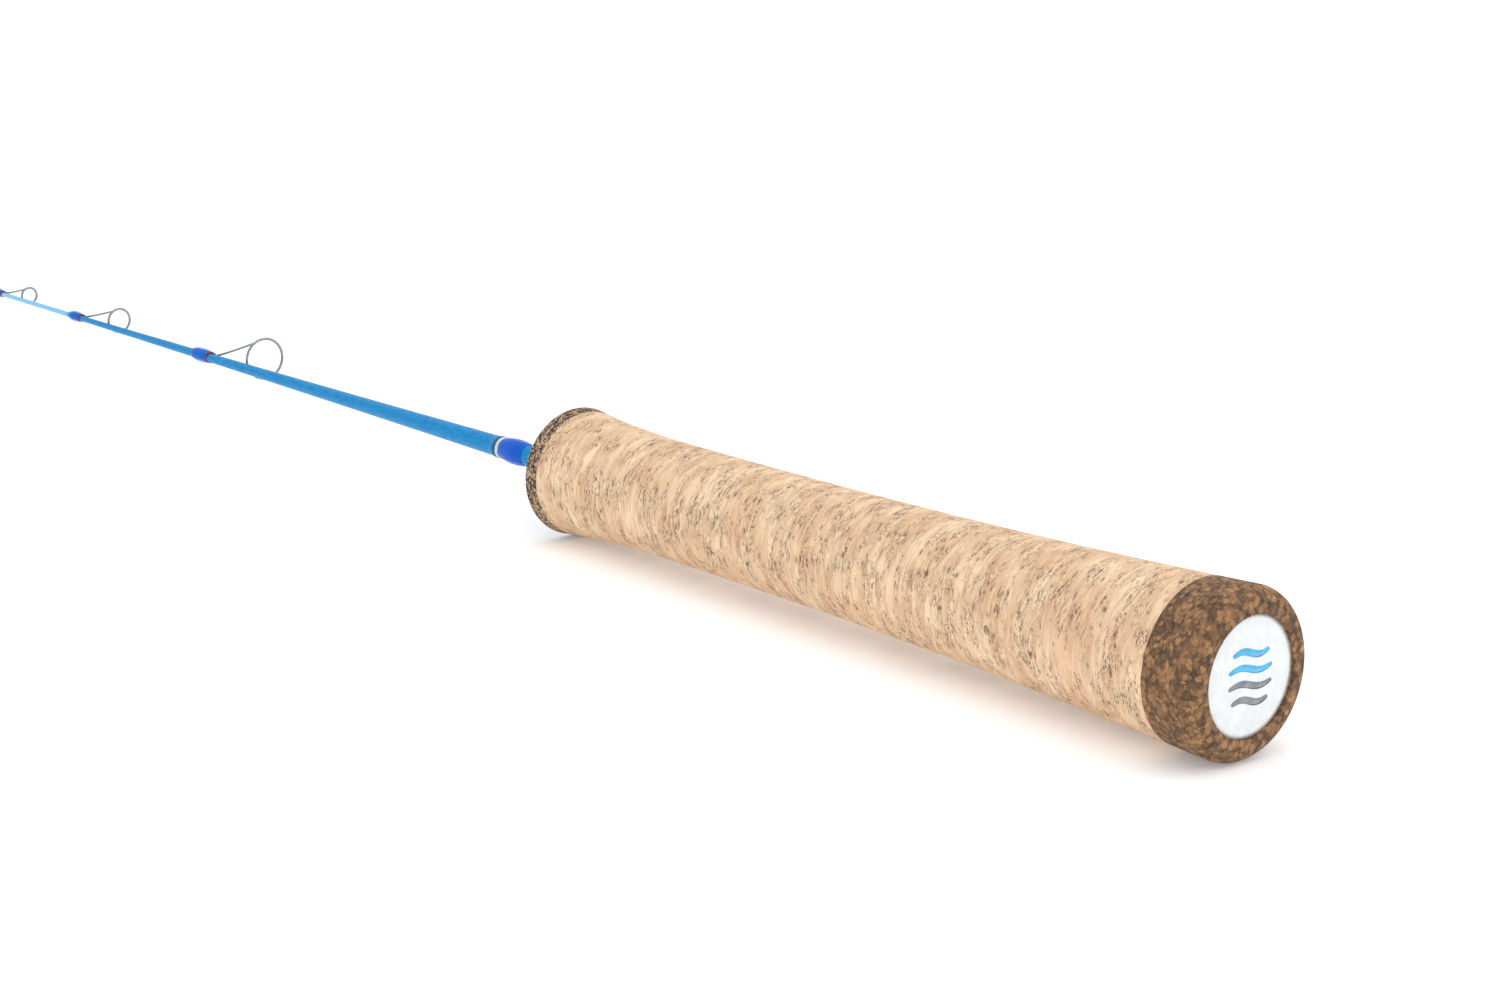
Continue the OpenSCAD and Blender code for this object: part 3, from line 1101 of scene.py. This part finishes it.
@dataclass
class TipTop:
    """Tube, braces and hoop at the rod's tip, with a short winding behind them."""

    lean: float = math.radians(24)
    wire: float = 0.65
    outer: float = 4.2
    mouth: float = 0.08
    nose: float = 0.3
    plug: float = 0.5
    brace_start: float = 2.0
    taper: Taper = field(default_factory=Taper)

    def build(self, finishes: "Finishes") -> None:
        """Builds and dresses the tip-top."""
        start, end = extent("tip_tube")
        tube_r = breadth("tip_tube")
        hole = self.taper.radius(start)
        mouth, nose, plug = self.mouth, self.nose, end - self.plug
        outline = [(start, hole), (start, tube_r - mouth)]
        outline += arc((start + mouth, tube_r - mouth), mouth, 180, 90, 3)
        outline += [(x, tube_r) for x in np.linspace(start + 0.5, end - nose, 8)]
        outline += arc((end - nose, tube_r - nose), nose, 90, 0, 5)
        outline += [(end, CORE), (plug, CORE), (plug, hole)]
        tube = Lathe(outline, 48, closed=True).build("tip_sleeve")
        dress(tube, finishes.steel, ["tip_tube"])
        low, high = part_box("tip_ring")
        middle = (low + high) / 2 / MM
        centre = Vector((middle.x, 0, math.hypot(middle.y, middle.z)))
        ring = hoop("tip_hoop", centre, self.outer, self.wire, self.lean)
        dress(ring, finishes.steel, ["tip_ring"])
        radius = (self.outer - self.wire) / 2
        for side, word in ((-1, "near"), (1, "far")):
            root = Vector((start + self.brace_start, side * 0.3, tube_r + 0.12))
            tip = centre + Vector((0, side * radius, 0))
            path = smooth_path([root, root + Vector((2, 0, 0.1)), tip - Vector((2, 0, 0.4)), tip], 14)
            brace = swept(f"tip_brace_{word}", path, [(self.wire * 0.4, self.wire * 0.4)] * len(path))
            dress(brace, finishes.steel, ["tip_frame"])
        Winding("tip_wrap").build(finishes.thread_blue, Slot.THREAD_BLUE)
        EpoxyCoat("tip_coat", 0.32).build(finishes.epoxy_blue)


@dataclass
class ButtWrap:
    """Cobalt winding ahead of the grip, its two trim bands and the epoxy football.

    Attributes:
        thread_t: Thickness of the main winding where it shows.
        bare: How far the coloured football stops short of the coat's butt end.
        football: Thickness of the football where it is fullest.
        trim_coat: Thickness of the clear coat over the trim bands.
    """

    thread_t: float = 0.1
    bare: float = 0.7
    football: float = 0.58
    trim_coat: float = 0.22

    def build(self, finishes: "Finishes") -> None:
        """Builds and dresses the winding."""
        Winding("butt_wrap_thread", self.thread_t).build(finishes.thread_cobalt, Slot.THREAD_BLUE)
        Winding("butt_trim_silver").build(finishes.thread_silver, Slot.THREAD_SILVER)
        Winding("butt_trim_teal").build(finishes.thread_teal, Slot.THREAD_TEAL)
        trim_start = extent("butt_trim_silver")[0]
        first, last = extent("butt_wrap_coat")
        EpoxyCoat("butt_wrap_coat", self.football, power=0.8, start=first + self.bare,
                  end=trim_start + 0.1, label="football").build(finishes.epoxy_cobalt)
        EpoxyCoat("butt_wrap_coat", self.trim_coat, power=0.4, start=trim_start - 0.2, end=last,
                  label="trim_clear").build(finishes.epoxy)


class Finishes:
    """Every material, made once."""

    def __init__(self) -> None:
        """Builds the materials."""
        self.cork = Cork().material()
        self.burl = BurlCork().material()
        self.burl_front = BurlCork("burl_cork_fine", 2500.0, 0.8, (
            (0.0, srgb(36, 29, 24)), (0.42, srgb(78, 62, 48)),
            (0.55, srgb(166, 134, 102)), (1.0, srgb(224, 192, 154)))).material()
        self.blank = Lacquer().material()
        self.thread_blue = Thread("thread_blue", srgb(0, 112, 212), srgb(0, 78, 176)).material()
        self.thread_cobalt = Thread("thread_cobalt", srgb(0, 98, 208), srgb(0, 66, 168)).material()
        self.thread_silver = Thread("thread_silver", srgb(240, 244, 248), srgb(190, 200, 208),
                                    0.4).material()
        self.thread_teal = Thread("thread_teal", srgb(0, 98, 128), srgb(0, 58, 84)).material()
        self.thread_red = Thread("thread_red", srgb(138, 44, 50), srgb(84, 22, 30), 0.3).material()
        self.epoxy = Epoxy().material()
        self.epoxy_cobalt = Epoxy("epoxy_cobalt", srgb(0, 94, 206), 0.7, 0.2).material()
        self.epoxy_blue = Epoxy("epoxy_blue", srgb(0, 112, 212), 0.45, 0.4).material()
        self.steel = GuideSteel().material()
        self.badge = Print("badge_white", srgb(218, 223, 225), srgb(230, 234, 235)).material()
        self.ink_blue = Print("ink_blue", srgb(0, 160, 220), srgb(20, 182, 236)).material()
        self.ink_grey = Print("ink_grey", srgb(96, 104, 112), srgb(130, 138, 146)).material()
        self.tape = Print("paper_tape", srgb(214, 196, 150), srgb(228, 214, 176), 0.8, 0.0).material()
        self.glue = Print("glue", srgb(222, 212, 176), srgb(236, 228, 200), 0.4, 0.3).material()


def dress_hidden(finishes: Finishes) -> None:
    """Gives the pieces inside the grip their materials."""
    inner = {"arbor_rear": finishes.tape, "arbor_front": finishes.tape,
             "epoxy_bond": finishes.glue}
    for name, material in inner.items():
        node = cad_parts[name]
        node.data.materials.clear()
        node.data.materials.append(material)
        LOG.info("%s: CAD node, new material", name)


@dataclass
class Studio:
    """Floor, lights and camera.

    Attributes:
        butt_floor: Floor level under the butt, in millimetres.
        front_floor: Floor level under the front of the grip.
        front_x: Place of the grip's front.
        floor_half: Half the floor's side, in metres.
        place: Where the camera is, in metres.
        right: The camera's direction to the right.
        up: The camera's direction upwards.
        lens: Focal length in millimetres.
        sky: Strength of the white surroundings.
    """

    butt_floor: float = -16.57
    front_floor: float = -14.97
    front_x: float = 203.2
    floor_half: float = 6.0
    place: tuple[float, float, float] = (-0.3067, 0.3698, 0.1522)
    right: tuple[float, float, float] = (-0.6375, -0.7704, 0.0)
    up: tuple[float, float, float] = (0.1894, -0.1567, 0.9693)
    lens: float = 66.8
    sky: float = 0.96

    def floor(self) -> None:
        """A wide pale floor that the grip lies on."""
        slope = (self.front_floor - self.butt_floor) / self.front_x
        half = self.floor_half
        corners = []
        for x, y in ((-half, -half), (half, -half), (half, half), (-half, half)):
            corners.append((x, y, self.butt_floor * MM + slope * x))
        mesh = bpy.data.meshes.new("floor")
        mesh.from_pydata(corners, [], [(0, 1, 2, 3)])
        piece = bpy.data.objects.new("floor", mesh)
        bpy.context.scene.collection.objects.link(piece)
        mesh.materials.append(Floor().material())

    @staticmethod
    def lamp(name: str, place: Vector, aim: Vector, size: float, power: float) -> None:
        """Adds a soft square light.

        Args:
            name: Its name.
            place: Where it is, in metres.
            aim: What it points at.
            size: Its side, in metres.
            power: Its power in watts.
        """
        light = bpy.data.lights.new(name, "AREA")
        light.size = size
        light.energy = power
        lamp = bpy.data.objects.new(name, light)
        lamp.location = place
        lamp.rotation_euler = (aim - place).to_track_quat("-Z", "Y").to_euler()
        bpy.context.scene.collection.objects.link(lamp)

    def camera(self) -> None:
        """A camera that looks from above the butt along the rod."""
        data = bpy.data.cameras.new("camera")
        data.lens = self.lens
        data.sensor_width = 36.0
        data.clip_start = 0.01
        right, up = Vector(self.right).normalized(), Vector(self.up).normalized()
        back = right.cross(up)
        camera = bpy.data.objects.new("camera", data)
        turn = Matrix((right, up, back)).transposed().to_4x4()
        camera.matrix_world = Matrix.Translation(Vector(self.place)) @ turn
        bpy.context.scene.collection.objects.link(camera)
        bpy.context.scene.camera = camera

    def build(self) -> None:
        """Builds the studio."""
        self.floor()
        aim = Vector((0.12, 0, 0))
        self.lamp("overhead", Vector((0.1, -0.1, 0.9)), aim, 1.0, 2.2)
        self.lamp("side", Vector((-0.5, -0.4, 0.5)), aim, 0.5, 0.7)
        world = bpy.data.worlds.new("studio")
        world.use_nodes = True
        background = world.node_tree.nodes["Background"]
        background.inputs["Color"].default_value = (1.0, 1.0, 1.0, 1.0)
        background.inputs["Strength"].default_value = self.sky
        bpy.context.scene.world = world
        bpy.context.scene.view_settings.view_transform = "Standard"
        self.camera()


def main() -> None:
    """Builds the rod, dresses it and sets up the studio."""
    logging.basicConfig(level=logging.INFO, format="%(name)s: %(message)s")
    Studio().build()
    finishes = Finishes()
    Grip().build(finishes)
    Blank().build(finishes)
    ButtWrap().build(finishes)
    for number in range(1, GUIDE_COUNT + 1):
        Guide(number).build(finishes)
    TipTop().build(finishes)
    dress_hidden(finishes)


if __name__ == "__main__":
    main()
